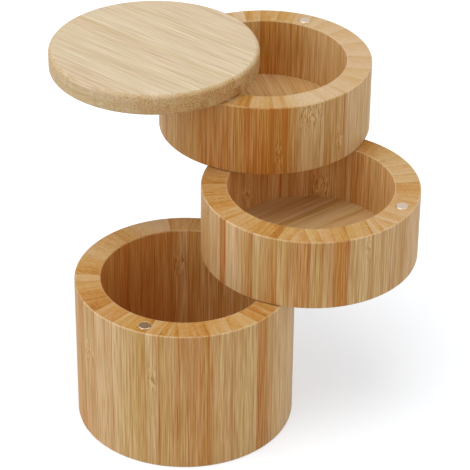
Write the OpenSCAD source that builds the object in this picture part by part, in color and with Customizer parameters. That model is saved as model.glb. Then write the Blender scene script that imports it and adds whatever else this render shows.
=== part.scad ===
// A rotating box of three round bamboo tiers and a lid, which all swivel on one steel pin.
// Each tier is a ring glued up from upright staves, with a disc for its floor. The pin comes up from the
// base's foot through all three walls and is fixed in the lid, so the lid and the pin turn together.
// Opposite the pin, disc magnets in each rim and in the foot above it hold the tiers when they are closed.
// The origin is the centre of the base's foot, +Z is up, and the pin stands behind the origin on +Y.

/* [Tiers] */
// Outer diameter of the three tiers
outer_d = 90; // [80:1:110]
// Thickness of the walls
wall = 10.7; // [10:0.1:13]
// Height of the base tier
base_h = 64; // [50:1:90]
// Height of the middle tier, and of the top tier
tier_h = 31; // [26:1:45]
// Thickness of the base's floor disc
base_floor_t = 6; // [4:0.5:9]
// Thickness of the floor disc in the middle tier and the top tier
tier_floor_t = 5; // [4:0.5:8]
// Step in the wall that a floor disc is glued up against
floor_ledge = 0.7; // [0.4:0.1:0.8]
// Chamfer along both edges of a rim
rim_chamfer = 0.5; // [0.2:0.1:0.8]
// Chamfer along the outer edge of a foot
foot_chamfer = 0.5; // [0.1:0.1:0.6]

/* [Lid] */
// Thickness of the lid
lid_t = 9; // [8:0.5:14]
// How far the lid's edge stays back from the tiers' outer face
lid_inset = 1; // [0:0.5:1.5]
// Rounding of the lid's upper edge
lid_top_round = 2; // [1:0.25:3]
// Rounding of the lid's lower edge
lid_foot_round = 1; // [0.5:0.25:1.5]

/* [Pivot] */
// Diameter of the pin's shank
pin_d = 5; // [4:0.5:6]
// Depth that the pin is set into the lid
pin_grip = 6; // [4:0.5:6.5]
// Chamfer at the pin's upper end
pin_chamfer = 0.4; // [0.2:0.1:0.8]
// Width of the ledge that the pin's head makes round the shank
head_ledge = 0.8; // [0.6:0.1:1]
// Thickness of the pin's head
head_t = 1.6; // [1:0.1:2.5]
// Thickness of the washer above the pin's head
head_washer_t = 0.6; // [0.4:0.1:1]
// Thickness of the bamboo plug that closes the hole below the pin's head
plug_t = 4; // [3:0.5:6]

/* [Swivel washers] */
// Width of the washers' ring, outwards from the pin
washer_w = 1.2; // [1:0.1:1.7]
// Thickness of the washers
washer_t = 0.8; // [0.6:0.1:1.2]
// Gap between a rim and the foot above it
swivel_gap = 0.3; // [0.2:0.05:0.5]

/* [Magnets] */
// Diameter of the disc magnets
magnet_d = 5; // [3:0.5:6]
// Thickness of the disc magnets
magnet_t = 2; // [1:0.5:3]
// Chamfer along both edges of a magnet
magnet_chamfer = 0.2; // [0.1:0.05:0.4]

/* [Fits] */
// Radial clearance between the pin and what turns on it
turn_clearance = 0.05; // [0.02:0.01:0.1]
// Radial clearance round a piece that is glued into its hole
glue_clearance = 0.05; // [0.02:0.01:0.1]
// Play between two faces that slide on each other
slide_play = 0.05; // [0.02:0.01:0.1]
// Room round the pin's head, and below it
head_room = 0.2; // [0.1:0.05:0.3]

/* [Pose] */
// Swing of the middle tier from its closed place over the base, in degrees
middle_swing = 88; // [0:1:180]
// Swing of the top tier from its closed place over the middle tier, in degrees
top_swing = 88; // [0:1:180]
// Swing of the lid from its closed place over the top tier, in degrees
lid_swing = 73; // [0:1:180]

/* [Hidden] */
$fn = 96;
// How far a cutter runs past the face that it opens
cut = 1;

// Radii, and the distance from the middle of a tier to its pin and to its magnets
outer_r = outer_d / 2;
well_r = outer_r - wall;
floor_hole_r = well_r + floor_ledge;
pivot_r = outer_r - wall / 2;
lid_r = outer_r - lid_inset;
pin_r = pin_d / 2;
bore_r = pin_r + turn_clearance;
head_r = pin_r + head_ledge;
head_hole_r = head_r + head_room;
washer_r = pin_r + washer_w;
magnet_r = magnet_d / 2;

// Heights, from the base's foot upwards
head_z = plug_t + head_room;
head_washer_z = head_z + head_t + slide_play;
head_hole_t = head_washer_z + head_washer_t;
middle_z = base_h + swivel_gap;
top_z = middle_z + tier_h + swivel_gap;
lid_z = top_z + tier_h + swivel_gap;

// The swivel washers stand proud of the rim by the gap, less the play that lets them slide
washer_recess_t = washer_t + slide_play - swivel_gap;

// Each swing adds to the one below it
middle_turn = middle_swing;
top_turn = middle_turn + top_swing;
lid_turn = top_turn + lid_swing;

base_colour = "#D3B07C";
tier_colour = "#C99C63";
floor_colour = "#C4985F";
lid_colour = "#DFC392";
nickel_colour = "#C9CACB";
steel_colour = "#A9ABAD";
nylon_colour = "#E9E4D8";

// Turns a tier about the pin and lifts it to its height
module at_tier(turn, z) {
    translate([0, pivot_r, z]) rotate(turn) translate([0, -pivot_r, 0]) children();
}

// A round hole or disc from z upwards, at the pin's side of a tier
module at_pin(r, z, h) {
    translate([0, pivot_r, z]) cylinder(r = r, h = h);
}

// The hole for a magnet, from z upwards, on the side of a tier that lies opposite the pin
module magnet_pocket(z, h) {
    translate([0, -pivot_r, z]) cylinder(r = magnet_r + glue_clearance, h = h);
}

// A ring whose hole is stepped at the foot for the floor disc
module wall_blank(h, floor_t) {
    rotate_extrude()
        polygon([
            [floor_hole_r, 0],
            [outer_r - foot_chamfer, 0],
            [outer_r, foot_chamfer],
            [outer_r, h - rim_chamfer],
            [outer_r - rim_chamfer, h],
            [well_r + rim_chamfer, h],
            [well_r, h - rim_chamfer],
            [well_r, floor_t],
            [floor_hole_r, floor_t]
        ]);
}

// What every wall has cut out of it: the pin's bore, the swivel washer's recess and the rim magnet's pocket
module wall_cuts(h) {
    at_pin(bore_r, -cut, h + 2 * cut);
    at_pin(washer_r + glue_clearance, h - washer_recess_t, washer_recess_t + cut);
    magnet_pocket(h - magnet_t, magnet_t + cut);
}

// The pocket for a magnet in the foot of a tier or of the lid
module foot_pocket() {
    magnet_pocket(-cut, magnet_t + cut);
}

module tier_wall() {
    difference() {
        wall_blank(tier_h, tier_floor_t);
        wall_cuts(tier_h);
        foot_pocket();
    }
}

module floor_disc(t) {
    cylinder(r = floor_hole_r - glue_clearance, h = t);
}

// A flat ring that the pin passes through
module washer(r, z, t) {
    difference() {
        at_pin(r, z, t);
        at_pin(bore_r, z - cut, t + 2 * cut);
    }
}

// A disc magnet with its lower face at z
module disc_magnet(z) {
    translate([0, -pivot_r, z])
        rotate_extrude()
        polygon([
            [0, 0],
            [magnet_r - magnet_chamfer, 0],
            [magnet_r, magnet_chamfer],
            [magnet_r, magnet_t - magnet_chamfer],
            [magnet_r - magnet_chamfer, magnet_t],
            [0, magnet_t]
        ]);
}

module foot_magnet() {
    disc_magnet(0);
}

module rim_magnet(h) {
    disc_magnet(h - magnet_t);
}

module swivel_washer(h) {
    washer(washer_r, h - washer_recess_t, washer_t);
}

// The base tier
module base_wall() {
    color(base_colour)
        difference() {
            wall_blank(base_h, base_floor_t);
            wall_cuts(base_h);
            at_pin(head_hole_r, -cut, head_hole_t + cut);
        }
}

module base_floor() {
    color(floor_colour) floor_disc(base_floor_t);
}

module base_rim_magnet() {
    color(nickel_colour) rim_magnet(base_h);
}

module base_swivel_washer() {
    color(nylon_colour) swivel_washer(base_h);
}

module pin_head_washer() {
    color(steel_colour) washer(head_r, head_washer_z, head_washer_t);
}

module pin_plug() {
    color(base_colour) at_pin(head_hole_r - glue_clearance, 0, plug_t);
}

// The middle tier
module middle_wall() {
    color(tier_colour) at_tier(middle_turn, middle_z) tier_wall();
}

module middle_floor() {
    color(floor_colour) at_tier(middle_turn, middle_z) floor_disc(tier_floor_t);
}

module middle_foot_magnet() {
    color(nickel_colour) at_tier(middle_turn, middle_z) foot_magnet();
}

module middle_rim_magnet() {
    color(nickel_colour) at_tier(middle_turn, middle_z) rim_magnet(tier_h);
}

module middle_swivel_washer() {
    color(nylon_colour) at_tier(middle_turn, middle_z) swivel_washer(tier_h);
}

// The top tier
module top_wall() {
    color(tier_colour) at_tier(top_turn, top_z) tier_wall();
}

module top_floor() {
    color(floor_colour) at_tier(top_turn, top_z) floor_disc(tier_floor_t);
}

module top_foot_magnet() {
    color(nickel_colour) at_tier(top_turn, top_z) foot_magnet();
}

module top_rim_magnet() {
    color(nickel_colour) at_tier(top_turn, top_z) rim_magnet(tier_h);
}

module top_swivel_washer() {
    color(nylon_colour) at_tier(top_turn, top_z) swivel_washer(tier_h);
}

// The lid, with the pin that is fixed in it
module lid_blank() {
    rotate_extrude() {
        square([lid_r - lid_foot_round, lid_t - lid_top_round]);
        translate([0, lid_foot_round])
            square([lid_r, lid_t - lid_foot_round - lid_top_round]);
        translate([0, lid_foot_round])
            square([lid_r - lid_top_round, lid_t - lid_foot_round]);
        translate([lid_r - lid_foot_round, lid_foot_round]) circle(r = lid_foot_round);
        translate([lid_r - lid_top_round, lid_t - lid_top_round]) circle(r = lid_top_round);
    }
}

module lid_disc() {
    color(lid_colour)
        at_tier(lid_turn, lid_z)
        difference() {
            lid_blank();
            at_pin(pin_r + glue_clearance, -cut, pin_grip + cut);
            foot_pocket();
        }
}

module lid_magnet() {
    color(nickel_colour) at_tier(lid_turn, lid_z) foot_magnet();
}

module pivot_pin() {
    pin_top = lid_z + pin_grip;
    color(steel_colour)
        translate([0, pivot_r, 0])
        rotate_extrude()
        polygon([
            [0, head_z],
            [head_r, head_z],
            [head_r, head_z + head_t],
            [pin_r, head_z + head_t],
            [pin_r, pin_top - pin_chamfer],
            [pin_r - pin_chamfer, pin_top],
            [0, pin_top]
        ]);
}

base_wall();
base_floor();
base_rim_magnet();
base_swivel_washer();
pin_head_washer();
pin_plug();
middle_wall();
middle_floor();
middle_foot_magnet();
middle_rim_magnet();
middle_swivel_washer();
top_wall();
top_floor();
top_foot_magnet();
top_rim_magnet();
top_swivel_washer();
lid_disc();
lid_magnet();
pivot_pin();
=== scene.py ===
# %% [markdown]
# # A rotating salt box in bamboo
#
# Three round bamboo rings are stacked under a flat lid, and all of them swivel on one steel pin.
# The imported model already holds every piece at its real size, so this lesson is about its looks:
# rings that show the staves they are glued from, a lid cut from a two-ply board, and the small
# metal pieces. The picture shows the box fanned open.
#
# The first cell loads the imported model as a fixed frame. Everything else is placed from it, in
# metres, so nothing has to be fitted by eye.

# %% Load the frame
import math
import random

import bmesh
import bpy
from mathutils import Matrix, Vector


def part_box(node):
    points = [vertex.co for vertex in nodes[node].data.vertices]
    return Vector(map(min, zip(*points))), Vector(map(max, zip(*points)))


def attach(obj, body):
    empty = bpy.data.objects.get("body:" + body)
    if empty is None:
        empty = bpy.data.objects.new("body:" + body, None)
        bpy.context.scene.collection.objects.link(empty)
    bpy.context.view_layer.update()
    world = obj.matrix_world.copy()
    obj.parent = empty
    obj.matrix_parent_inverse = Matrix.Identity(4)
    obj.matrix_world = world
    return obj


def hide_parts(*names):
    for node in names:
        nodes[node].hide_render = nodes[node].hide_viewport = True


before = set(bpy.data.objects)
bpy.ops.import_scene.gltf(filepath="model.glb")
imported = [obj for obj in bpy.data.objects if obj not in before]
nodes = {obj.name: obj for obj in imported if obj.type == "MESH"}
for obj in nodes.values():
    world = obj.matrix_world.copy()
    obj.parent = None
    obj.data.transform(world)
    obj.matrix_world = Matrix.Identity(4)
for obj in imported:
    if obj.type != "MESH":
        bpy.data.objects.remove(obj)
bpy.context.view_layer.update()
MM = 0.001

# %% [markdown]
# ## Camera
#
# A product photographer stands well back with a long lens, so that round things stay round. The
# distance, height and lens here were found by fitting the rims and feet of all the tiers to the
# photograph. The camera is aimed a little to the right of the base and above it, and rolled by
# half a degree, as a hand-held or roughly levelled camera is.

# %% Camera
PHOTO_SIDE_PX = 470
FOCAL_LENGTH_PX = 2197.4
CAMERA_AZIMUTH = math.radians(22.04)
CAMERA_ELEVATION = math.radians(31.93)
CAMERA_ROLL = math.radians(0.59)
CAMERA_DISTANCE = 885.8 * MM
AIM_RIGHT_OF_BASE = 20.3 * MM
AIM_HEIGHT = 83.4 * MM

turn = Matrix.Rotation(CAMERA_AZIMUTH, 3, "Z")
ahead = turn @ Vector((0, math.cos(CAMERA_ELEVATION), -math.sin(CAMERA_ELEVATION)))
level_right = turn @ Vector((1, 0, 0))
level_up = level_right.cross(ahead)
right = math.cos(CAMERA_ROLL) * level_right + math.sin(CAMERA_ROLL) * level_up
up = math.cos(CAMERA_ROLL) * level_up - math.sin(CAMERA_ROLL) * level_right
aim = turn @ Vector((AIM_RIGHT_OF_BASE, 0, AIM_HEIGHT))

camera_data = bpy.data.cameras.new("photo_camera")
camera_data.lens = FOCAL_LENGTH_PX / PHOTO_SIDE_PX * camera_data.sensor_width
camera_data.clip_start = 0.01
camera = bpy.data.objects.new("photo_camera", camera_data)
bpy.context.scene.collection.objects.link(camera)
facing = Matrix((right, up, -ahead)).transposed().to_4x4()
camera.matrix_world = Matrix.Translation(aim - CAMERA_DISTANCE * ahead) @ facing
bpy.context.scene.camera = camera
bpy.context.scene.view_settings.view_transform = "Standard"
print("lens in mm:", round(camera_data.lens, 1), "camera at:", [round(v, 3) for v in camera.location])

# %% [markdown]
# ## Colours and nodes
#
# A hex colour is written for the eye, in sRGB, but a shader works with amounts of light. One
# function turns the one into the other. Another adds a node with its settings and links in one
# call, so that a material reads as a list of what feeds what.

# %% Colour and node helpers
def linear(hex_colour):
    """Gives an sRGB hex colour as the linear RGBA that a shader socket takes."""
    channels = [int(hex_colour[i:i + 2], 16) / 255 for i in (1, 3, 5)]
    return (*(c / 12.92 if c <= 0.04045 else ((c + 0.055) / 1.055) ** 2.4 for c in channels), 1.0)


def add(tree, kind, inputs=None, **settings):
    """Adds a node. An input is a socket to link or a value to set, and a setting is an attribute."""
    node = tree.nodes.new(kind)
    for name, value in settings.items():
        setattr(node, name, value)
    for name, value in (inputs or {}).items():
        if isinstance(value, bpy.types.NodeSocket):
            tree.links.new(value, node.inputs[name])
        else:
            node.inputs[name].default_value = value
    return node


def combined(tree, operation, first, second):
    """Adds a node for sums, products and the like, and gives its result."""
    return add(tree, "ShaderNodeMath", {0: first, 1: second}, operation=operation).outputs[0]


def ramped(tree, value, low, high, least, most, interpolation="LINEAR"):
    """Turns the range from low to high into the range from least to most, and keeps the value inside it."""
    return add(tree, "ShaderNodeMapRange", {"Value": value, "From Min": low, "From Max": high, "To Min": least,
                                            "To Max": most}, interpolation_type=interpolation).outputs[0]


def blank_material(name):
    """Makes a material that holds nothing but its output node."""
    material = bpy.data.materials.new(name)
    material.use_nodes = True
    tree = material.node_tree
    tree.nodes.clear()
    return material, tree, add(tree, "ShaderNodeOutputMaterial")


print("white is", linear("#FFFFFF"))

# %% [markdown]
# ## Studio light and floor
#
# The box stands on a white sweep in a bright studio. A white world stands for the light that
# comes back from all sides. A large soft key light hangs almost overhead, a little to the left,
# which puts the shadow on the floor close to the right of the base. Two softer lights stand low at both sides and reach
# the walls. Together they light a level surface about as brightly as its colour is written.
#
# The floor has to look white, yet keep the shadow under the tiers that stick out. So it reflects
# like pale card, and shows the camera some white of its own on top. Rays that only carry bounced
# light to the box don't see that extra white. It is a touch cool, which balances the warm light
# that the wood throws into the shadow.

# %% Light and floor
WORLD_STRENGTH = 0.42
LIGHTS = {
    "key": {"strength": 1.20, "spread": 56, "height": 80, "left_of_camera": 78},
    "left": {"strength": 1.00, "spread": 80, "height": 25, "left_of_camera": 70},
    "right": {"strength": 0.60, "spread": 80, "height": 25, "left_of_camera": -60},
}
FLOOR_SIDE = 6.0
FLOOR_DROP = 0.05 * MM
FLOOR_COLOUR = "#DCDCDB"
FLOOR_OWN_WHITE = (0.44, 0.47, 0.505, 1.0)

world = bpy.data.worlds.new("white_studio")
bpy.context.scene.world = world
world.use_nodes = True
tree = world.node_tree
tree.nodes.clear()


def seen_directly(tree):
    """Gives 1 for rays from the camera, a mirror or glass, and 0 for rays that only carry light."""
    path = add(tree, "ShaderNodeLightPath").outputs
    by_mirror = combined(tree, "ADD", path["Is Camera Ray"], path["Is Glossy Ray"])
    return combined(tree, "MINIMUM", combined(tree, "ADD", by_mirror, path["Is Transmission Ray"]), 1.0)


level = ramped(tree, seen_directly(tree), 0.0, 1.0, WORLD_STRENGTH, 1.0)
sky = add(tree, "ShaderNodeBackground", {"Color": linear("#FFFFFF"), "Strength": level})
add(tree, "ShaderNodeOutputWorld", {"Surface": sky.outputs[0]})

for name, look in LIGHTS.items():
    sun_data = bpy.data.lights.new(name + "_light", "SUN")
    sun_data.energy = look["strength"]
    sun_data.angle = math.radians(look["spread"])
    sun = bpy.data.objects.new(name + "_light", sun_data)
    bpy.context.scene.collection.objects.link(sun)
    azimuth = CAMERA_AZIMUTH - math.radians(look["left_of_camera"])
    sun.rotation_euler = (math.pi / 2 - math.radians(look["height"]), 0, azimuth)

floor_material, tree, output = blank_material("pale sweep card")
card = add(tree, "ShaderNodeBsdfDiffuse", {"Color": linear(FLOOR_COLOUR)})
lift = add(tree, "ShaderNodeEmission", {"Color": FLOOR_OWN_WHITE, "Strength": seen_directly(tree)})
both = add(tree, "ShaderNodeAddShader", {0: card.outputs[0], 1: lift.outputs[0]})
tree.links.new(both.outputs[0], output.inputs["Surface"])

bm = bmesh.new()
bmesh.ops.create_grid(bm, x_segments=1, y_segments=1, size=FLOOR_SIDE / 2)
bmesh.ops.translate(bm, vec=(0, 0, -FLOOR_DROP), verts=bm.verts)
floor_mesh = bpy.data.meshes.new("studio_floor")
bm.to_mesh(floor_mesh)
bm.free()
floor = bpy.data.objects.new("studio_floor", floor_mesh)
bpy.context.scene.collection.objects.link(floor)
floor.data.materials.append(floor_material)
print("lights:", list(LIGHTS), "floor:", FLOOR_SIDE, "m square")

# %% [markdown]
# ## Sizes read from the frame
#
# The pin stands halfway through the wall of every ring, and the magnet sits opposite it. So the
# middle of a ring is halfway between the pin and that ring's magnet, the pin's reach is half
# their distance, and the wall reaches as far inward from the pin as outward.

# %% Sizes
def middle_of(node):
    low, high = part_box(node)
    return (low + high) / 2


def radius_of(node):
    low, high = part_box(node)
    return (high.x - low.x) / 2


def ring_centre(magnet):
    """The middle of the ring or lid that holds this magnet, on the ground."""
    centre = (middle_of("pivot_pin") + middle_of(magnet)) / 2
    return Vector((centre.x, centre.y, 0))


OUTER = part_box("base_wall")[1].x
PIN_REACH = (middle_of("pivot_pin") - middle_of("base_rim_magnet")).xy.length / 2
WELL = 2 * PIN_REACH - OUTER
FLOOR_GLUE = 0.05 * MM
LEDGE = radius_of("base_floor") + FLOOR_GLUE
print("outer radius", round(OUTER / MM, 2), "well radius", round(WELL / MM, 2), "ledge", round(LEDGE / MM, 2))

# %% [markdown]
# ## What a stave is
#
# Bamboo is a thin-walled tube, so a ring this thick can't be cut from one stem. The maker splits
# stems into strips, glues the strips edge to edge into a thick ring and turns it on a lathe. Each
# strip is pale where it lay towards the hollow of the stem, and darker where it lay under the
# skin, because the fibres crowd there. So every stave runs from pale to dark, and jumps back to
# pale at the next joint. Some staves hold a knuckle, where a leaf once grew.
#
# The staves that the photograph shows are listed one by one, from left to right around each ring.
# The rest come from a seeded random generator, so that they are the same on every run.
# A row gives the width on the outer face in mm, the wall's tone at the left and at the right joint
# from 0 for straw to 1 for caramel, the tone of the end grain on the rim, how far the left joint
# leans on its way to the inner face in mm, and the knuckle's height above the ring's foot in mm.

# %% Staves that the photograph shows
NO_KNUCKLE = None
BASE_FIRST_JOINT = -133
BASE_STAVES = [
    (18, 0.70, 0.85, 0.30, 0.5, NO_KNUCKLE), (8, 0.75, 0.90, 0.55, 0, NO_KNUCKLE),
    (20.5, 0.90, 0.70, 0.44, 1, NO_KNUCKLE), (16, 0.80, 0.90, 0.60, 1, NO_KNUCKLE),
    (6.5, 0.50, 0.55, 0.40, 1, NO_KNUCKLE), (14.5, 0.62, 0.76, 0.70, 0, NO_KNUCKLE),
    (8.5, 0.42, 0.56, 0.86, 1, 42), (10.5, 0.25, 0.38, 0.58, -1.5, NO_KNUCKLE),
    (4.5, 0.20, 0.30, 0.54, 1, NO_KNUCKLE), (11, 0.33, 0.76, 0.72, 0, NO_KNUCKLE),
    (5.5, 0.32, 0.48, 0.52, 1, 43), (4.3, 0.78, 0.52, 0.72, 3, NO_KNUCKLE), (4.2, 0.50, 0.76, 0.74, 2, NO_KNUCKLE),
    (12, 0.58, 0.84, 0.62, -2, NO_KNUCKLE), (9.5, 0.62, 0.43, 0.49, -0.5, NO_KNUCKLE),
    (12.1, 0.54, 0.38, 0.48, 2, NO_KNUCKLE), (5, 0.86, 0.80, 0.68, -1.5, NO_KNUCKLE), (3.9, 0.66, 0.56, 0.66, -1, NO_KNUCKLE),
    (12.5, 0.32, 0.26, 0.55, 0, NO_KNUCKLE), (10, 0.14, 0.24, 0.50, 1, NO_KNUCKLE),
]
MIDDLE_FIRST_JOINT = -86
MIDDLE_STAVES = [
    (16, 0.45, 0.60, 0.58, 0, NO_KNUCKLE),
    (10, 0.45, 0.55, 0.60, -1, NO_KNUCKLE), (7, 0.45, 0.55, 0.62, 0.5, 29),
    (10, 0.42, 0.26, 0.56, 0, NO_KNUCKLE), (3.5, 0.88, 0.96, 0.60, 0, NO_KNUCKLE),
    (14.3, 0.14, 0.75, 0.52, 0.5, NO_KNUCKLE),
    (10.5, 0.32, 0.85, 0.78, 0, NO_KNUCKLE), (5, 0.48, 0.66, 0.56, 1, NO_KNUCKLE),
    (8.5, 0.62, 0.88, 0.54, 3.5, NO_KNUCKLE), (5, 0.48, 0.90, 0.50, -3.5, NO_KNUCKLE),
    (5.2, 0.48, 0.80, 0.52, -2, NO_KNUCKLE), (5.3, 0.88, 0.97, 0.70, 0, NO_KNUCKLE), (6.5, 0.50, 0.34, 0.50, 2, NO_KNUCKLE),
    (4.4, 0.30, 0.62, 0.60, 5, 27), (5.6, 0.38, 0.50, 0.42, 4, NO_KNUCKLE), (6.5, 0.36, 0.42, 0.38, 3, NO_KNUCKLE),
    (6.5, 0.40, 0.56, 0.38, -3, NO_KNUCKLE), (12.5, 0.32, 0.40, 0.40, -1, NO_KNUCKLE),
    (17.5, 0.35, 0.45, 0.56, 1, NO_KNUCKLE), (7, 0.20, 0.28, 0.34, -1, NO_KNUCKLE),
    (8, 0.20, 0.30, 0.36, 0, NO_KNUCKLE), (8, 0.25, 0.32, 0.38, 1, NO_KNUCKLE),
    (9, 0.30, 0.40, 0.45, 0, NO_KNUCKLE), (11, 0.45, 0.60, 0.70, -2, NO_KNUCKLE),
]
TOP_FIRST_JOINT = -52
TOP_STAVES = [
    (12, 0.60, 0.72, 0.50, 0, NO_KNUCKLE), (14.5, 0.78, 0.95, 0.50, 1, NO_KNUCKLE),
    (12.5, 0.92, 0.76, 0.60, -1, NO_KNUCKLE), (6, 0.80, 0.88, 0.80, 0, NO_KNUCKLE),
    (10, 0.94, 1.08, 0.50, 0, NO_KNUCKLE), (6, 0.88, 1.10, 0.44, 0, 10),
    (4.3, 0.92, 0.68, 0.28, -0.5, NO_KNUCKLE), (12.2, 0.48, 0.34, 0.14, 0, 26.5),
    (6, 0.62, 0.50, 0.20, -2, NO_KNUCKLE), (5.5, 0.50, 0.60, 0.20, 1, 11),
    (13, 0.22, 0.32, 0.25, 0, NO_KNUCKLE), (10, 0.40, 0.48, 0.29, 1, NO_KNUCKLE),
    (12, 0.28, 0.36, 0.24, -1, NO_KNUCKLE), (14, 0.20, 0.30, 0.22, 1, NO_KNUCKLE),
    (14, 0.18, 0.26, 0.24, 0, NO_KNUCKLE), (11, 0.18, 0.26, 0.26, 1, NO_KNUCKLE),
    (8, 0.30, 0.38, 0.27, 2, NO_KNUCKLE), (8, 0.46, 0.56, 0.30, 0, NO_KNUCKLE),
    (7.7, 0.60, 0.72, 0.56, -1, NO_KNUCKLE), (8, 0.80, 0.88, 0.60, 0, NO_KNUCKLE),
    (8, 0.46, 0.62, 0.57, 1, NO_KNUCKLE),
    (6, 0.30, 0.40, 0.18, 1, NO_KNUCKLE),
]

# %% Staves that it doesn't show
WIDTHS_MM = (8, 14)
PALE_TONES = (0.20, 0.42)
DARK_TONES = (0.45, 0.85)
END_TONES = (0.40, 0.65)
LEANS_MM = (-2.5, 2.5)
KNUCKLE_SHARE = 0.2


def whole_ring(first_joint, shown, height, chance):
    """Adds staves to the shown ones until the ring is closed. Widths and places are on the outer face, in mm."""
    around = 2 * math.pi * OUTER / MM
    staves = list(shown)
    left = around - sum(stave[0] for stave in staves)
    while left > 0:
        width = chance.uniform(*WIDTHS_MM)
        if left - width < WIDTHS_MM[0]:
            width = left
        knuckle = chance.uniform(6, height / MM - 4) if chance.random() < KNUCKLE_SHARE else None
        staves.append((width, chance.uniform(*PALE_TONES), chance.uniform(*DARK_TONES),
                       chance.uniform(*END_TONES), chance.uniform(*LEANS_MM), knuckle))
        left -= width
    joints = [first_joint]
    for stave in staves[:-1]:
        joints.append(joints[-1] + stave[0])
    return staves, joints


demo = whole_ring(BASE_FIRST_JOINT, BASE_STAVES, 64 * MM, random.Random(1))[0]
print("staves shown on the base:", len(BASE_STAVES), "whole ring:", len(demo))

# %% [markdown]
# ## Turning a ring
#
# A lathe turns a profile around an axis, and so does bmesh's spin. The profile is the wall's
# section: six corners, with the arrises of the rim and foot rounded over by bevelling those
# corners before the spin. The step at the foot takes the floor disc. Pockets for the magnets and
# the washers and the bore for the pin are cut with a Boolean modifier, each from the size of the
# piece that sits in it, so metal and wood never share a surface.

# %% Ring blank
RIM_ARRIS = 0.5 * MM
FOOT_ARRIS = 0.5 * MM
ARRIS_STEPS = 3
RING_STEPS = 240
SHARP_ANGLE = math.radians(40)
POCKET_PLAY = 0.05 * MM
POCKET_STEPS = 64
COUNTERSINK = 0.3 * MM
PIN_RADIUS = 2.5 * MM


def ring_blank(centre, foot, rim, floor_top):
    """Spins the wall's section around the ring's own axis."""
    bm = bmesh.new()
    section = [(OUTER, foot), (OUTER, rim), (WELL, rim), (WELL, floor_top), (LEDGE, floor_top), (LEDGE, foot)]
    corners = [bm.verts.new(centre + Vector((r, 0, z))) for r, z in section]
    bm.faces.new(corners)
    outer_foot, *rim_corners = corners[:3]
    for picked, size in (([outer_foot], FOOT_ARRIS), (rim_corners, RIM_ARRIS)):
        bmesh.ops.bevel(bm, geom=picked, offset=size, offset_type="OFFSET", segments=ARRIS_STEPS,
                        profile=0.5, affect="VERTICES", material=-1)
    bmesh.ops.delete(bm, geom=bm.faces[:], context="FACES_ONLY")
    bmesh.ops.spin(bm, geom=bm.verts[:] + bm.edges[:], cent=centre, axis=(0, 0, 1), dvec=(0, 0, 0),
                   angle=2 * math.pi, steps=RING_STEPS, use_merge=True, use_duplicate=False)
    bmesh.ops.remove_doubles(bm, verts=bm.verts, dist=0.001 * MM)
    bmesh.ops.recalc_face_normals(bm, faces=bm.faces)
    return bm


def as_object(bm, name):
    mesh = bpy.data.meshes.new(name)
    bm.to_mesh(mesh)
    bm.free()
    piece = bpy.data.objects.new(name, mesh)
    bpy.context.scene.collection.objects.link(piece)
    return piece


def plug_shape(node, grow_up=0, grow_down=0):
    """A cylinder that is a little wider than a round CAD node, to cut its pocket with."""
    low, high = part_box(node)
    low.z -= grow_down
    high.z += grow_up
    bm = bmesh.new()
    bmesh.ops.create_cone(bm, cap_ends=True, segments=POCKET_STEPS, depth=high.z - low.z,
                          radius1=radius_of(node) + POCKET_PLAY, radius2=radius_of(node) + POCKET_PLAY)
    bmesh.ops.translate(bm, vec=(low + high) / 2, verts=bm.verts)
    return as_object(bm, "cutter_" + node)


def countersink_shape(node):
    """A cone that breaks the sharp edge of a pocket that opens upwards."""
    low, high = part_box(node)
    wide = radius_of(node) + POCKET_PLAY + 2 * COUNTERSINK
    bm = bmesh.new()
    bmesh.ops.create_cone(bm, cap_ends=True, segments=POCKET_STEPS, depth=2 * COUNTERSINK,
                          radius1=wide - 2 * COUNTERSINK, radius2=wide)
    bmesh.ops.translate(bm, vec=((low.x + high.x) / 2, (low.y + high.y) / 2, high.z), verts=bm.verts)
    return as_object(bm, "cutter_edge_" + node)


def bore_shape(past_end=20 * MM):
    """A cylinder for the pin's bore, from above the pin's head to past its far end."""
    low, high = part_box("pivot_pin")
    head_washer_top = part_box("pin_head_washer")[1].z
    bm = bmesh.new()
    top = high.z + past_end
    bmesh.ops.create_cone(bm, cap_ends=True, segments=POCKET_STEPS, depth=top - head_washer_top,
                          radius1=PIN_RADIUS + POCKET_PLAY, radius2=PIN_RADIUS + POCKET_PLAY)
    pin_axis = (low + high) / 2
    bmesh.ops.translate(bm, vec=(pin_axis.x, pin_axis.y, (top + head_washer_top) / 2), verts=bm.verts)
    return as_object(bm, "cutter_bore")


def cut_pockets(piece, cutters):
    """Takes the cutters out of the piece and then deletes them. Gives the result as a new bmesh."""
    for cutter in cutters:
        pocket = piece.modifiers.new("pocket", "BOOLEAN")
        pocket.operation = "DIFFERENCE"
        pocket.solver = "EXACT"
        pocket.object = cutter
    evaluated = piece.evaluated_get(bpy.context.evaluated_depsgraph_get())
    bm = bmesh.new()
    bm.from_mesh(evaluated.to_mesh())
    evaluated.to_mesh_clear()
    for done in [piece, *cutters]:
        mesh = done.data
        bpy.data.objects.remove(done)
        bpy.data.meshes.remove(mesh)
    return bm


trial = ring_blank(Vector((0, 0, 0)), 0, 64 * MM, 6 * MM)
print("faces in a ring blank:", len(trial.faces))
trial.free()

# %% [markdown]
# ## Splitting the ring into staves
#
# The joints are cut into the mesh with upright planes. A plane goes through a point on the outer
# face and a point on the inner face, so a joint may lean, as it does where a stave was planed a
# little out of true. Each face then belongs to one stave, and its corners carry what the bamboo
# finish needs: how far the corner is from the stave's pale and dark joints, a number that is the
# stave's own, its two tones, and the height above its knuckle.

# %% Joints and stave data
FAR_FROM_KNUCKLE = 500.0
NEAR_JOINT = math.radians(24)
END_GRAIN_TILT = 0.98
ARRIS_TILT = 0.2
END_TONE_SPREADS = (0.05, 0.19)
# tilted faces at arrises and countersinks are painted paler: a painted highlight
ARRIS_PAINTED_HIGHLIGHT = 0.20
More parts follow.
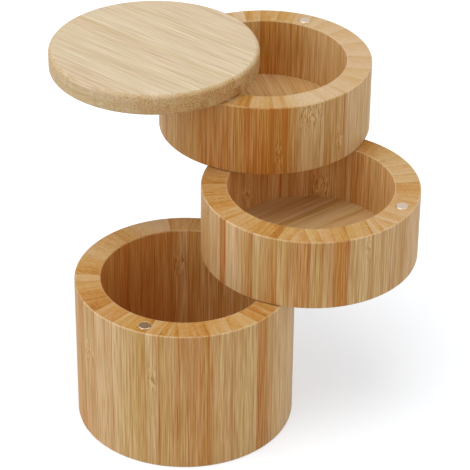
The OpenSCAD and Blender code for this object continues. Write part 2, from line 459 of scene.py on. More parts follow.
# inner faces of a well are painted paler, as painted bounce light
WELL_PAINTED_BOUNCE_PALER = 0.10
SIDE_GRAIN, END_GRAIN, WELL_GRAIN_PAINTED_BOUNCE = range(3)


def around_angle(centre, point):
    offset = point - centre
    return math.atan2(offset.y, offset.x)


def turn_between(start, end):
    """The turn from one angle to another, from minus half a turn to half a turn."""
    return (end - start + math.pi) % (2 * math.pi) - math.pi


def joint_plane(centre, joint_mm, lean_mm):
    """A point on the joint at the outer face, the plane's normal, and its angles at both faces."""
    facing = -math.pi / 2 + CAMERA_AZIMUTH
    outer_angle = facing + joint_mm * MM / OUTER
    inner_angle = outer_angle + lean_mm * MM / OUTER
    outer_point = centre + OUTER * Vector((math.cos(outer_angle), math.sin(outer_angle), 0))
    inner_point = centre + WELL * Vector((math.cos(inner_angle), math.sin(inner_angle), 0))
    along = (outer_point - inner_point).normalized()
    return outer_point, Vector((-along.y, along.x, 0)), outer_angle, inner_angle


def joint_angle_at(plane, reach):
    share = (OUTER - reach) / (OUTER - WELL)
    return plane[2] + share * turn_between(plane[2], plane[3])


def split_into_staves(bm, centre, planes):
    for point, normal, outer_angle, _ in planes:
        near = [f for f in bm.faces
                if abs(turn_between(outer_angle, around_angle(centre, f.calc_center_median()))) < NEAR_JOINT]
        parts = set(near)
        for f in near:
            parts.update(f.edges)
            parts.update(f.verts)
        bmesh.ops.bisect_plane(bm, geom=list(parts), dist=0.0005 * MM, plane_co=point, plane_no=normal)


def stave_layers(bm):
    corners = bm.loops.layers
    return (corners.float_vector.new("from_joints"), corners.float_vector.new("tones"),
            corners.float.new("from_ply_joint"))


def not_deeper(place):
    return 0.0


def write_corner(face, layers, from_pale, from_dark, own_number, tones, above_knuckle, from_ply_joint,
                 deeper=not_deeper):
    """Writes the numbers of a stave or strip to the corners of a face. Distances are functions of a place."""
    for loop in face.loops:
        place = loop.vert.co
        more = deeper(place)
        loop[layers[0]] = Vector((from_pale(place) / MM, from_dark(place) / MM, own_number))
        loop[layers[1]] = Vector((tones[0] + more, tones[1] + more, above_knuckle(place) / MM))
        loop[layers[2]] = from_ply_joint(place) / MM


def fill_stave_data(bm, centre, foot, staves, planes, chance):
    """Finds the stave of every face and writes its numbers. Level faces are end grain, and arrises are painted paler,
    as a painted highlight.
    """
    layers = stave_layers(bm)
    own_numbers = [chance.random() for _ in staves]
    for face in bm.faces:
        place = face.calc_center_median()
        reach = min(max((place - centre).xy.length, WELL), OUTER)
        angle = around_angle(centre, place)
        turns = [turn_between(joint_angle_at(plane, reach), angle) % (2 * math.pi) for plane in planes]
        index = turns.index(min(turns))
        _, left_tone, right_tone, end_tone, _, knuckle = staves[index]
        left_plane, right_plane = planes[index], planes[(index + 1) % len(planes)]
        if left_tone > right_tone:
            left_plane, right_plane = right_plane, left_plane
        pale, dark = sorted((left_tone, right_tone))
        face.material_index = SIDE_GRAIN
        tilt = abs(face.normal.z)
        if tilt > END_GRAIN_TILT:
            face.material_index = END_GRAIN
            spread = END_TONE_SPREADS[0] + end_tone * (END_TONE_SPREADS[1] - END_TONE_SPREADS[0])
            pale, dark = end_tone - spread, end_tone + spread
        # arrises and countersinks: tones painted paler, a painted highlight
        elif tilt > ARRIS_TILT:
            pale, dark = pale - ARRIS_PAINTED_HIGHLIGHT, dark - ARRIS_PAINTED_HIGHLIGHT
        # inner faces of the well: tones painted paler, as painted bounce light
        elif face.normal.dot(place - centre) < 0:
            face.material_index = WELL_GRAIN_PAINTED_BOUNCE
            pale, dark = pale - WELL_PAINTED_BOUNCE_PALER, dark - WELL_PAINTED_BOUNCE_PALER
        knuckle_z = foot + knuckle * MM if knuckle else foot - FAR_FROM_KNUCKLE * MM
        write_corner(face, layers,
                     lambda p: abs((p - left_plane[0]).dot(left_plane[1])),
                     lambda p: abs((p - right_plane[0]).dot(right_plane[1])),
                     own_numbers[index], (pale, dark), lambda p: p.z - knuckle_z,
                     lambda p: FAR_FROM_KNUCKLE * MM)


def finish_piece(bm, name, body, materials, replaced):
    """Turns the bmesh into a smooth-shaded piece that rides on its body and stands for its CAD nodes."""
    for face in bm.faces:
        face.smooth = True
    for edge in bm.edges:
        edge.smooth = len(edge.link_faces) == 2 and edge.calc_face_angle(0) < SHARP_ANGLE
    piece = as_object(bm, name)
    for material in materials:
        piece.data.materials.append(material)
    weighted = piece.modifiers.new("flat faces stay flat", "WEIGHTED_NORMAL")
    weighted.keep_sharp = True
    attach(piece, body)
    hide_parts(*replaced)
    print(name, "faces:", len(piece.data.polygons))
    return piece


# %% [markdown]
# ## Bamboo
#
# Up close, bamboo is a pale ground with darker fibre bundles that run the whole length of the
# stem. Cut along, they show as fine lines, and cut across, as dots. One pattern in three
# dimensions gives both: it is stretched along the fibres, and the surface simply slices it. The
# pattern is shifted by the stave's own number, so that it breaks at every joint.
#
# The bundles of real bamboo are about half a millimetre thick and one apart. Where they crowd,
# they blend into stripes, so there are three sizes of pattern: bands, lines and fine fibres. Each
# has a pitch across the fibres and a length along them, both in mm. The finest real fibres are too
# fine for the picture, so they are drawn about twice as coarse.

# %% Grain sizes
PATTERN_SHIFT = (310.0, 170.0, 730.0)
SWAY_PITCH = 3.2
SWAY_LENGTH = 8.0
SWAY = (1.8, 1.8, 4.0)
FLECK_PITCH = 0.50
FLECK_LENGTH = 3.4
PALE_LINE_SHARE = 0.35
FIBRE_TONE_SHARE = 0.64
FIBRE_SHADE = 0.29
HUE_PATCH_PITCH = 1.7
HUE_PATCH_LENGTH = 60.0
LAYER_PITCH = 1.3
LAYER_LENGTH = 16.0
KNUCKLE_REACH = 9.0
KNUCKLE_CLEAR_OF_JOINT = (0.3, 1.6)
JOINT_LINE = 0.28
GLUE_PATCH_PITCH = 3.0
GLUE_PATCH_LENGTH = 30.0

RING_SIDE_TONES = ["#DCBB8E", "#D4B383", "#CBA36C", "#C3975D", "#BE8948", "#B77026"]
RING_END_TONES = ["#D7BC97", "#CEAD82", "#C79F67", "#BF8F4B", "#B67D33", "#A56923"]
LID_TONES = ["#DDCBAD", "#D7C2A1", "#CEB48D", "#C6A36F", "#BA8A52", "#A0713B"]
BOARD_TONES = ["#DFBF8E", "#D6B37E", "#CCA267", "#C19350", "#B07C38", "#935F24"]
# the well's own paler and more orange colours are painted bounce light
WELL_TONES_PAINTED_BOUNCE = ["#E8C48C", "#E0B87C", "#D6A25F", "#D09650", "#CB883D", "#C56F22"]
GLUE_COLOUR = "#8F6230"

# %% [markdown]
# The pattern's coordinates are in mm, turned so that the third one runs along the fibres. At a
# knuckle the fibres sway sideways, so the coordinates sway there too.

# %% Grain coordinates
def stave_numbers(tree):
    """The numbers that the mesh carries: distances to the joints, own number, tones and knuckle."""
    sockets = []
    for name in ("from_joints", "tones"):
        read = add(tree, "ShaderNodeAttribute", attribute_name=name)
        sockets += add(tree, "ShaderNodeSeparateXYZ", {0: read.outputs["Vector"]}).outputs
    return sockets


def knuckle_mask(tree, above_knuckle, joint):
    """How near a point is to the knuckle, from 1 at its middle to 0 far above, far below and at the joints."""
    distance = add(tree, "ShaderNodeMath", {0: above_knuckle}, operation="ABSOLUTE").outputs[0]
    near = ramped(tree, distance, KNUCKLE_REACH, 0.5, 0.0, 1.0, "SMOOTHSTEP")
    return combined(tree, "MULTIPLY", near, ramped(tree, joint, *KNUCKLE_CLEAR_OF_JOINT, 0.0, 1.0))


def stretched_noise(tree, coordinates, pitch, length, detail=2.0):
    """Noise that is as fine as pitch across the fibres and runs on for about length along them."""
    cells = add(tree, "ShaderNodeVectorMath", {0: coordinates, 1: (1 / pitch, 1 / pitch, 1 / length)},
                operation="MULTIPLY")
    return add(tree, "ShaderNodeTexNoise", {"Vector": cells.outputs[0], "Scale": 1.0, "Detail": detail,
                                            "Roughness": 0.55}).outputs


def shifted(tree, coordinates, own_number):
    """Moves a pattern by the stave's own number, so that no two staves show the same part of it."""
    shift = add(tree, "ShaderNodeVectorMath", {0: PATTERN_SHIFT, "Scale": own_number}, operation="SCALE")
    return add(tree, "ShaderNodeVectorMath", {0: coordinates, 1: shift.outputs[0]}, operation="ADD").outputs[0]


def grain_coordinates(tree, place, fibre_angle, own_number, knuckle):
    """Coordinates in mm, the third along the fibres, shifted for each stave and swaying at a knuckle."""
    along = (0, 0, 0) if fibre_angle is None else (0, math.pi / 2, fibre_angle)
    grain = add(tree, "ShaderNodeMapping", {"Vector": place, "Scale": (MM, MM, MM), "Rotation": along},
                vector_type="TEXTURE")
    own = shifted(tree, grain.outputs[0], own_number)
    sway = stretched_noise(tree, own, SWAY_PITCH, SWAY_LENGTH, 0.0)["Color"]
    centred = add(tree, "ShaderNodeVectorMath", {0: sway, 1: (0.5, 0.5, 0.5)}, operation="SUBTRACT")
    wide = add(tree, "ShaderNodeVectorMath", {0: centred.outputs[0], 1: SWAY}, operation="MULTIPLY")
    masked = add(tree, "ShaderNodeVectorMath", {0: wide.outputs[0], "Scale": knuckle}, operation="SCALE")
    return add(tree, "ShaderNodeVectorMath", {0: own, 1: masked.outputs[0]}, operation="ADD").outputs[0]

# %% [markdown]
# The tone rises across the stave, slowly at first and steeply near the side that lay under the
# skin. Bands add to it or take from it. Lines, fine fibres and the knuckle's flecks are partly a
# change of tone and partly plain shade, because a fibre bundle is browner than it is redder.

# %% Tone of the bamboo
def stave_tone(tree, from_pale, from_dark, pale_tone, dark_tone, crowding):
    share = combined(tree, "DIVIDE", from_pale, combined(tree, "ADD", from_pale, from_dark))
    return ramped(tree, combined(tree, "POWER", share, crowding), 0.0, 1.0, pale_tone, dark_tone)


def fibre_tones(tree, coordinates, ground, knuckle, look):
    """Bands as a plus or minus to the tone, then lines, fine fibres and flecks in one, and the fine wave."""
    waves = {}
    for name in ("band", "line", "fine"):
        waves[name] = stretched_noise(tree, coordinates, *look[name][:2])["Fac"]
    dark_line = ramped(tree, waves["line"], 0.54, 0.64, 0.0, 1.0)
    pale_line = ramped(tree, waves["line"], 0.46, 0.36, 0.0, -PALE_LINE_SHARE)
    shapes = {"band": ramped(tree, waves["band"], 0.32, 0.68, -1.0, 1.0),
              "line": combined(tree, "ADD", dark_line, pale_line),
              "fine": ramped(tree, waves["fine"], 0.36, 0.64, -1.0, 1.0)}
    parts = {}
    for name, shape in shapes.items():
        on_pale, on_dark = look[name][2:]
        strength = ramped(tree, ground, 0.0, 1.0, on_pale, on_dark)
        parts[name] = combined(tree, "MULTIPLY", shape, strength)
    flecks = stretched_noise(tree, coordinates, FLECK_PITCH, FLECK_LENGTH)["Fac"]
    pale_fleck = ramped(tree, flecks, 0.47, 0.38, 0.0, -0.40)
    dark_fleck = ramped(tree, flecks, 0.56, 0.62, 0.0, 0.80)
    parts["fleck"] = combined(tree, "MULTIPLY", combined(tree, "ADD", pale_fleck, dark_fleck), knuckle)
    fibres = combined(tree, "ADD", combined(tree, "ADD", parts["line"], parts["fine"]), parts["fleck"])
    return parts["band"], fibres, waves["fine"]

# %% [markdown]
# Where a board is cut across, its fibre bundles show as dots that are spread rather evenly.

# %% Dots of the bundles
def bundle_tone(tree, coordinates, ground, look):
    pitch, on_pale, on_dark = look["dots"]
    cells = add(tree, "ShaderNodeVectorMath", {0: coordinates, 1: (1 / pitch, 1 / pitch, 0.0)}, operation="MULTIPLY")
    dots = add(tree, "ShaderNodeTexVoronoi", {"Vector": cells.outputs[0], "Scale": 1.0, "Randomness": 0.7},
               voronoi_dimensions="2D")
    shape = ramped(tree, dots.outputs["Distance"], 0.20, 0.45, 1.0, -0.4)
    return combined(tree, "MULTIPLY", shape, ramped(tree, ground, 0.0, 1.0, on_pale, on_dark))

# %% [markdown]
# Seen from its end, a stave shows the layers of the stem's wall as soft streaks beside its joints.
# So one more pattern, for the rims alone, follows the distance from the joints.

# %% Layers of the end grain
def layer_tone(tree, place, from_pale, from_dark, own_number, ground, look):
    twice_across = combined(tree, "SUBTRACT", from_pale, from_dark)
    along = add(tree, "ShaderNodeMapping", {"Vector": place, "Scale": [LAYER_LENGTH * MM] * 3},
                vector_type="TEXTURE")
    level = add(tree, "ShaderNodeSeparateXYZ", {0: along.outputs[0]}).outputs
    across = combined(tree, "MULTIPLY", twice_across, 0.5 / LAYER_PITCH)
    cell = add(tree, "ShaderNodeCombineXYZ", {0: across, 1: level[0], 2: level[1]})
    spot = shifted(tree, cell.outputs[0], own_number)
    layers = add(tree, "ShaderNodeTexNoise", {"Vector": spot, "Scale": 1.0, "Detail": 2.0})
    wave = ramped(tree, layers.outputs["Fac"], 0.34, 0.66, -1.0, 1.0)
    return combined(tree, "MULTIPLY", wave, ramped(tree, ground, 0.0, 1.0, *look["layers"]))

# %% [markdown]
# The glue line between two staves is thin and brown, clear in some places and gone in others.
# The board of the lid has one more such line, at half its thickness.

# %% Glue lines
def glue_line(tree, joint, coordinates, strength):
    ply = add(tree, "ShaderNodeAttribute", attribute_name="from_ply_joint").outputs["Fac"]
    nearest = combined(tree, "MINIMUM", joint, ply)
    line = ramped(tree, nearest, JOINT_LINE, JOINT_LINE / 4, 0.0, strength, "SMOOTHSTEP")
    patches = stretched_noise(tree, coordinates, GLUE_PATCH_PITCH, GLUE_PATCH_LENGTH, 1.0)["Fac"]
    return combined(tree, "MULTIPLY", line, ramped(tree, patches, 0.34, 0.54, 0.0, 1.0))

# %% [markdown]
# Now the whole finish: sanded, oiled and satin, with a very low bump along the grain. Dark fibres
# are a little glossier than the soft ground between them.

# %% Bamboo finish
# bands, lines and fine fibres each have a pitch and a length in mm, and a strength in tone on pale
# and on dark bamboo
SIDE_LOOK = {"band": (1.7, 90, 0.10, 0.10), "line": (0.52, 40, 0.15, 0.42), "fine": (0.34, 18, 0.33, 0.26),
             "glue": 0.60, "crowding": 2.0, "hue": 0.008}
END_LOOK = {"band": (1.8, 60, 0.02, 0.10), "line": (0.60, 34, 0.01, 0.13), "fine": (0.38, 13, 0.02, 0.17),
            "glue": 0.34, "crowding": 1.3, "hue": 0.006, "layers": (0.00, 0.22)}
LID_LOOK = {"band": (4.5, 70, 0.05, 0.08), "line": (0.55, 45, 0.10, 0.00), "fine": (0.40, 26, 0.29, 0.06),
            "glue": 0.06, "crowding": 1.6, "hue": 0.009, "dots": (0.75, -0.12, 0.36)}
BOARD_LOOK = {"band": (2.2, 80, 0.09, 0.09), "line": (0.70, 40, 0.15, 0.40), "fine": (0.40, 18, 0.14, 0.14),
              "glue": 0.40, "crowding": 2.0, "hue": 0.006}
ROUGHNESS = 0.55
SHEEN_LEVEL = 0.3


def bamboo(name, tones, look, fibre_angle=None):
    """Makes sanded and oiled bamboo. Fibres stand upright, or lie level at fibre_angle."""
    material, tree, output = blank_material(name)
    place = add(tree, "ShaderNodeTexCoord").outputs["Object"]
    from_pale, from_dark, own_number, pale_tone, dark_tone, above_knuckle = stave_numbers(tree)
    joint = combined(tree, "MINIMUM", from_pale, from_dark)
    knuckle = knuckle_mask(tree, above_knuckle, joint)
    coordinates = grain_coordinates(tree, place, fibre_angle, own_number, knuckle)

    tone = ground = stave_tone(tree, from_pale, from_dark, pale_tone, dark_tone, look["crowding"])
    band, fibres, wave = fibre_tones(tree, coordinates, ground, knuckle, look)
    parts = [band, combined(tree, "MULTIPLY", fibres, FIBRE_TONE_SHARE)]
    shade = combined(tree, "SUBTRACT", 1.0, combined(tree, "MULTIPLY", fibres, FIBRE_SHADE))
    if "dots" in look:
        parts.append(bundle_tone(tree, coordinates, ground, look))
    if "layers" in look:
        parts.append(layer_tone(tree, place, from_pale, from_dark, own_number, ground, look))
    for part in parts:
        tone = combined(tree, "ADD", tone, part)
    ramp = add(tree, "ShaderNodeValToRGB", {"Fac": tone})
    stops = ramp.color_ramp.elements
    while len(stops) < len(tones):
        stops.new(1.0)
    for i, hex_colour in enumerate(tones):
        stops[i].position = i / (len(tones) - 1)
        stops[i].color = linear(hex_colour)

    # staves from different stems differ a little in hue, and each has rosier and greener streaks
    stem = add(tree, "ShaderNodeTexWhiteNoise", {"W": own_number}, noise_dimensions="1D")
    stem_hue = ramped(tree, stem.outputs["Value"], 0.0, 1.0, 0.495, 0.504)
    streaks = stretched_noise(tree, coordinates, HUE_PATCH_PITCH, HUE_PATCH_LENGTH)["Fac"]
    streak_hue = ramped(tree, streaks, 0.3, 0.7, -look["hue"], look["hue"])
    hue = combined(tree, "ADD", stem_hue, streak_hue)
    toned = add(tree, "ShaderNodeHueSaturation", {"Hue": hue, "Value": shade, "Color": ramp.outputs["Color"]})
    line = glue_line(tree, joint, coordinates, look["glue"])
    colour = add(tree, "ShaderNodeMix", {0: line, 6: toned.outputs["Color"], 7: linear(GLUE_COLOUR)},
                 data_type="RGBA")

    satin = ramped(tree, wave, 0.3, 0.7, ROUGHNESS + 0.07, ROUGHNESS - 0.05)
    relief = add(tree, "ShaderNodeBump", {"Height": wave, "Strength": 0.25, "Distance": 0.03 * MM})
    wood = add(tree, "ShaderNodeBsdfPrincipled", {"Base Color": colour.outputs[2], "Roughness": satin, "IOR": 1.47,
                                                  "Specular IOR Level": SHEEN_LEVEL, "Normal": relief.outputs[0]})
    tree.links.new(wood.outputs[0], output.inputs["Surface"])
    return material


ring_side = bamboo("bamboo side grain sanded and oiled", RING_SIDE_TONES, SIDE_LOOK)
ring_end = bamboo("bamboo end grain sanded and oiled", RING_END_TONES, END_LOOK)
# the well's material carries painted bounce light
ring_well_painted_bounce = bamboo("bamboo side grain with painted bounce light", WELL_TONES_PAINTED_BOUNCE, SIDE_LOOK)
print("bamboo nodes:", len(ring_side.node_tree.nodes))

# %% [markdown]
# ## The three rings
#
# All three are made by the same steps, and differ only in their staves, height and pockets. The inside of a well is
# painted paler and more orange than the outside. That is painted bounce light, the light that fills a well, not a
# colour of the bamboo.

# %% Rings
POCKET_PAST_FACE = 0.5 * MM
RINGS = {
    "base": (BASE_FIRST_JOINT, BASE_STAVES, "bamboo_base", 11),
    "middle": (MIDDLE_FIRST_JOINT, MIDDLE_STAVES, "bamboo_tier", 23),
    "top": (TOP_FIRST_JOINT, TOP_STAVES, "bamboo_tier", 37),
}


def pocket_cutters(body):
    """Cutters for every small piece that sits in this ring."""
    cutters = [plug_shape(body + "_rim_magnet", grow_up=POCKET_PAST_FACE), countersink_shape(body + "_rim_magnet"),
               plug_shape(body + "_swivel_washer", grow_up=POCKET_PAST_FACE, grow_down=POCKET_PLAY)]
    if body == "base":
        head_hole = plug_shape("pin_head_washer", grow_up=POCKET_PLAY,
                               grow_down=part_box("pin_head_washer")[0].z + POCKET_PAST_FACE)
        return [*cutters, head_hole, plug_shape("pin_plug", grow_down=POCKET_PAST_FACE)]
    return [*cutters, plug_shape(body + "_foot_magnet", grow_down=POCKET_PAST_FACE)]


def turned_ring(body):
    first_joint, shown, slot, seed = RINGS[body]
    chance = random.Random(seed)
    wall = body + "_wall"
    foot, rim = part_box(wall)[0].z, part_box(wall)[1].z
    centre = ring_centre(body + "_rim_magnet")
    blank = as_object(ring_blank(centre, foot, rim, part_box(body + "_floor")[1].z), "blank_" + body)
    bm = cut_pockets(blank, [*pocket_cutters(body), bore_shape()])
    staves, joints = whole_ring(first_joint, shown, rim - foot, chance)
    planes = [joint_plane(centre, joint, stave[4]) for joint, stave in zip(joints, staves)]
    split_into_staves(bm, centre, planes)
    bm.normal_update()
    fill_stave_data(bm, centre, foot, staves, planes, chance)
    return finish_piece(bm, body + "_ring", body, [ring_side, ring_end, ring_well_painted_bounce], [wall])


for body in RINGS:
    turned_ring(body)

# %% [markdown]
# ## Boards
#
# The lid and the floors are discs turned from glued bamboo board. The lid's board has two plies
# glued face to face, with their fibres running the same way and their strips shifted. So the glue
# line at half its thickness shows along the edge, and the edge shows dots where the fibres meet it
# head on, and lines where they run beside it. End grain drinks more oil, so the edge turns to
# caramel there, from the arris down.
#
# The disc is a filled circle that is extruded and bevelled, then cut level between the plies and
# upright between the strips.

# %% Board blank
ROUND_STEPS = 6
SAME_LEVEL = 0.005 * MM


def board_blank(centre, radius, low, high, top_round, foot_round):
    bm = bmesh.new()
    bmesh.ops.create_circle(bm, cap_ends=True, segments=RING_STEPS, radius=radius)
    bmesh.ops.translate(bm, vec=centre + Vector((0, 0, low)), verts=bm.verts)
    raised = bmesh.ops.extrude_face_region(bm, geom=bm.faces[:])["geom"]
    bmesh.ops.translate(bm, vec=(0, 0, high - low), verts=[v for v in raised if isinstance(v, bmesh.types.BMVert)])
    bmesh.ops.recalc_face_normals(bm, faces=bm.faces)
    for level, size in ((high, top_round), (low, foot_round)):
        arris = [e for e in bm.edges if all(abs(v.co.z - level) < SAME_LEVEL for v in e.verts)]
        if size:
            bmesh.ops.bevel(bm, geom=arris, offset=size, offset_type="OFFSET", segments=ROUND_STEPS,
                            profile=0.5, affect="EDGES", material=-1)
    return bm


def cut_upright(bm, faces, point, normal):
    parts = set(faces)
    for f in faces:
        parts.update(f.edges)
        parts.update(f.verts)
    bmesh.ops.bisect_plane(bm, geom=list(parts), dist=0.0005 * MM, plane_co=point, plane_no=normal)

# %% [markdown]
# A ply is given by its lowest and highest level, the direction of its fibres, where its first
# strip begins and its strips' widths and tones. Strips are counted across the fibres in mm.

# %% Plies and strips
BOARD_SIDE_DEEPER = 0.23
BOARD_END_DEEPER = 0.27


def upright_share(height, low, high, rounds):
    """How far a rounded edge has turned at this height, from 0 for level to 1 for upright."""
    turned = 0.0
    for past, size in ((height - high + rounds[0], rounds[0]), (low + rounds[1] - height, rounds[1])):
        if size:
            turned = max(turned, min(past / size, 1.0))
    return math.sqrt(1 - turned ** 2)


def random_strips(reach, chance, widths, pale, dark):
    """Strips that cover a disc of this radius, in mm from its middle."""
    first, strips = -reach - chance.uniform(0, widths[0]), []
    while first + sum(strip[0] for strip in strips) < reach:
        strips.append((chance.uniform(*widths), chance.uniform(*pale), chance.uniform(*dark)))
    return first, strips


def cut_plies(bm, centre, plies):
    for low, _, _, _, _ in plies[1:]:
        cut_upright(bm, bm.faces[:], Vector((0, 0, low)), Vector((0, 0, 1)))
    for low, high, fibre_angle, first, strips in plies:
        across = Vector((-math.sin(fibre_angle), math.cos(fibre_angle), 0))
        edge = first
        for strip in strips[:-1]:
            edge += strip[0]
            faces = [f for f in bm.faces if low - SAME_LEVEL < f.calc_center_median().z < high + SAME_LEVEL]
            cut_upright(bm, faces, centre + across * edge * MM, across)


def fill_board_data(bm, centre, plies, rounds, chance):
    layers = stave_layers(bm)
    ply_joint = plies[1][0] if len(plies) > 1 else FAR_FROM_KNUCKLE
    own_numbers = [[chance.random() for _ in ply[4]] for ply in plies]

    def deeper_edge(place):
        """The edge drinks more oil than the level faces, and most where it cuts the fibres."""
        cut_across = (place - centre).xy.normalized().dot(fibre.xy) ** 2
        upright = upright_share(place.z, plies[0][0], plies[-1][1], rounds)
        return upright * (BOARD_SIDE_DEEPER + BOARD_END_DEEPER * cut_across)

    for face in bm.faces:
        place = face.calc_center_median()
        number = next(i for i, ply in enumerate(plies) if place.z < ply[1] + SAME_LEVEL)
        _, _, fibre_angle, first, strips = plies[number]
        fibre = Vector((math.cos(fibre_angle), math.sin(fibre_angle), 0))
        across = Vector((-fibre.y, fibre.x, 0))
        start, index = first, 0
        while index < len(strips) - 1 and (place - centre).dot(across) / MM > start + strips[index][0]:
            start += strips[index][0]
            index += 1
        width, left_tone, right_tone = strips[index]
        low_edge, high_edge = centre.dot(across) + start * MM, centre.dot(across) + (start + width) * MM
        if left_tone > right_tone:
            low_edge, high_edge = high_edge, low_edge
        write_corner(face, layers, lambda p: abs(p.dot(across) - low_edge), lambda p: abs(p.dot(across) - high_edge),
                     own_numbers[number][index], sorted((left_tone, right_tone)),
                     lambda p: FAR_FROM_KNUCKLE * MM, lambda p: abs(p.z - ply_joint),
                     not_deeper if abs(face.normal.z) > END_GRAIN_TILT else deeper_edge)


def board(name, body, centre, radius, rounds, plies, materials, cutters, replaced, chance):
    low, high = plies[0][0], plies[-1][1]
    blank = as_object(board_blank(centre, radius, low, high, *rounds), "blank_" + name)
    bm = cut_pockets(blank, cutters)
    cut_plies(bm, centre, plies)
    bm.normal_update()
    fill_board_data(bm, centre, plies, rounds, chance)
    return finish_piece(bm, name, body, materials, replaced)

# %% [markdown]
# ## The lid
#
# The upper ply's strips are the ones that show, so they are listed one by one, from the side at the lower left of the
# picture. They are the palest bamboo of the whole box, and barely differ, but for one amber strip past the middle. The
# lower ply shows only at the edge. The fibres lie a few degrees off the line from the pin to the magnet.

# %% Lid
LID_TOP_ROUND = 2 * MM
LID_FOOT_ROUND = 1 * MM
LID_FIBRES_OFF_PIN_LINE = math.radians(3)
LID_FIRST_STRIP = -46
LID_STRIPS = [(13, 0.16, 0.22), (12, 0.14, 0.24), (12, 0.20, 0.24), (6, 0.18, 0.24), (3.4, 0.27, 0.33),
              (11, 0.12, 0.20), (12, 0.16, 0.22), (12, 0.18, 0.24), (12, 0.18, 0.26)]
LOWER_FIRST_STRIP = -50
LOWER_STRIPS = [(10, 0.16, 0.26), (12, 0.20, 0.28), (14, 0.24, 0.34), (14, 0.22, 0.30), (4, 0.36, 0.44),
                (14, 0.16, 0.24), (14, 0.20, 0.30), (18, 0.18, 0.28)]

chance = random.Random(5)
lid_centre = ring_centre("lid_magnet")
lid_low, lid_high = (corner.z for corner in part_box("lid_disc"))
to_magnet = middle_of("lid_magnet") - middle_of("pivot_pin")
fibre_angle = math.atan2(-to_magnet.y, -to_magnet.x) + LID_FIBRES_OFF_PIN_LINE
lid_middle = (lid_low + lid_high) / 2
lid_plies = [(lid_low, lid_middle, fibre_angle, LOWER_FIRST_STRIP, LOWER_STRIPS),
             (lid_middle, lid_high, fibre_angle, LID_FIRST_STRIP, LID_STRIPS)]
lid_finish = [bamboo("pale bamboo board", LID_TONES, LID_LOOK, fibre_angle)]
lid_cutters = [plug_shape("lid_magnet", grow_down=POCKET_PAST_FACE), bore_shape(0)]
board("lid_board", "lid", lid_centre, radius_of("lid_disc"), (LID_TOP_ROUND, LID_FOOT_ROUND),
      lid_plies, lid_finish, lid_cutters, ["lid_disc"], chance)

# %% [markdown]
# ## Floors and plug
#
# Each floor is a thinner one-ply board. They lie with their fibres at different angles, because
# a turned disc goes in as it comes. The plug that hides the pin's head is a slice of the same.

# %% Floors and plug
FLOOR_ARRIS = 0.2 * MM
FLOOR_ANGLES = {"base": 10, "middle": 62, "top": 128}

for body, degrees in FLOOR_ANGLES.items():
    chance = random.Random(100 + degrees)
    disc = body + "_floor"
    low, high = (corner.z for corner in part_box(disc))
    angle = math.radians(degrees)
    plies = [(low, high, angle, *random_strips(36, chance, (9, 17), (0.1, 0.3), (0.3, 0.55)))]
    finish = bamboo("bamboo board of the " + body + " floor", BOARD_TONES, BOARD_LOOK, angle)
    board(body + "_floor_board", body, ring_centre(body + "_rim_magnet"), radius_of(disc),
          (FLOOR_ARRIS, FLOOR_ARRIS), plies, [finish], [], [disc], chance)

plug_low, plug_high = (corner.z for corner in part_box("pin_plug"))
plug_plies = [(plug_low, plug_high, 0.0, -8, [(16, 0.3, 0.6)])]
plug_centre = Vector((middle_of("pin_plug").x, middle_of("pin_plug").y, 0))
board("pin_plug_slice", "base", plug_centre, radius_of("pin_plug"), (0, FLOOR_ARRIS), plug_plies,
      [bamboo("bamboo plug", BOARD_TONES, BOARD_LOOK, 0.0)], [], ["pin_plug"], random.Random(3))

# %% [markdown]
# ## Magnets, pin and washers
#
# The magnets are sintered discs with a nickel plating, which is a slightly warm, soft mirror with
# fine tumbling marks. The pin and its washer are drawn steel, duller and with lines along the pin.
# The swivel washers are natural nylon, a milky and slightly waxy plastic. All of them keep their
# CAD shape.

# %% Metal and nylon finishes
TUMBLE_MARK = 0.25
DRAW_LINE = 0.15


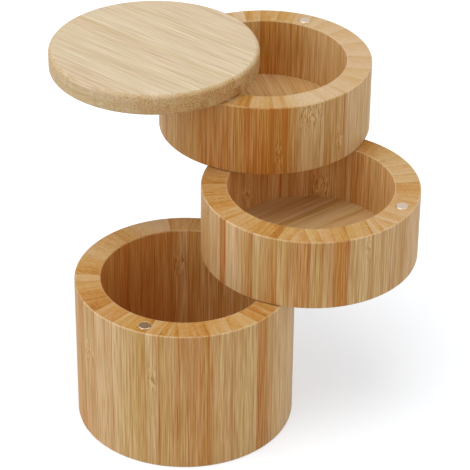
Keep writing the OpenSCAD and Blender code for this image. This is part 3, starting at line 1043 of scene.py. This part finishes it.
def metal(name, colour, roughness, spread_mm, bump):
    material, tree, output = blank_material(name)
    place = add(tree, "ShaderNodeTexCoord").outputs["Object"]
    marks_at = add(tree, "ShaderNodeMapping", {"Vector": place, "Scale": [v * MM for v in spread_mm]},
                   vector_type="TEXTURE")
    marks = add(tree, "ShaderNodeTexNoise", {"Vector": marks_at.outputs[0], "Scale": 1.0, "Detail": 3.0})
    rough = add(tree, "ShaderNodeMapRange", {"Value": marks.outputs["Fac"], "From Min": 0.3, "From Max": 0.7,
                                             "To Min": roughness - 0.06, "To Max": roughness + 0.08})
    tint = add(tree, "ShaderNodeMix", {0: marks.outputs["Fac"], 6: linear(colour[0]), 7: linear(colour[1])},
               data_type="RGBA")
    relief = add(tree, "ShaderNodeBump", {"Height": marks.outputs["Fac"], "Strength": bump, "Distance": 0.01 * MM})
    shine = add(tree, "ShaderNodeBsdfPrincipled", {"Base Color": tint.outputs[2], "Metallic": 1.0,
                                                   "Roughness": rough.outputs[0], "Normal": relief.outputs[0]})
    tree.links.new(shine.outputs[0], output.inputs["Surface"])
    return material


nickel = metal("nickel plating tumbled", ("#D0C1AE", "#C4B39E"), 0.20, (TUMBLE_MARK,) * 3, 0.1)
steel = metal("drawn steel", ("#BDBFC1", "#A9ABAD"), 0.34, (DRAW_LINE, DRAW_LINE, 60 * DRAW_LINE), 0.3)

nylon, tree, output = blank_material("natural nylon")
place = add(tree, "ShaderNodeTexCoord").outputs["Object"]
cloud = add(tree, "ShaderNodeTexNoise", {"Vector": place, "Scale": 1 / (1.5 * MM), "Detail": 2.0})
milky = add(tree, "ShaderNodeMix", {0: cloud.outputs["Fac"], 6: linear("#ECE7DB"), 7: linear("#E2DCCE")},
            data_type="RGBA")
waxy = add(tree, "ShaderNodeBsdfPrincipled", {"Base Color": milky.outputs[2], "Roughness": 0.45, "IOR": 1.53})
tree.links.new(waxy.outputs[0], output.inputs["Surface"])

for node, piece in nodes.items():
    found = nickel if "magnet" in node else nylon if "swivel_washer" in node else steel if "pin" in node else None
    if found and node != "pin_plug":
        for slot in piece.material_slots:
            slot.material = found
print("magnets:", sum("magnet" in node for node in nodes))
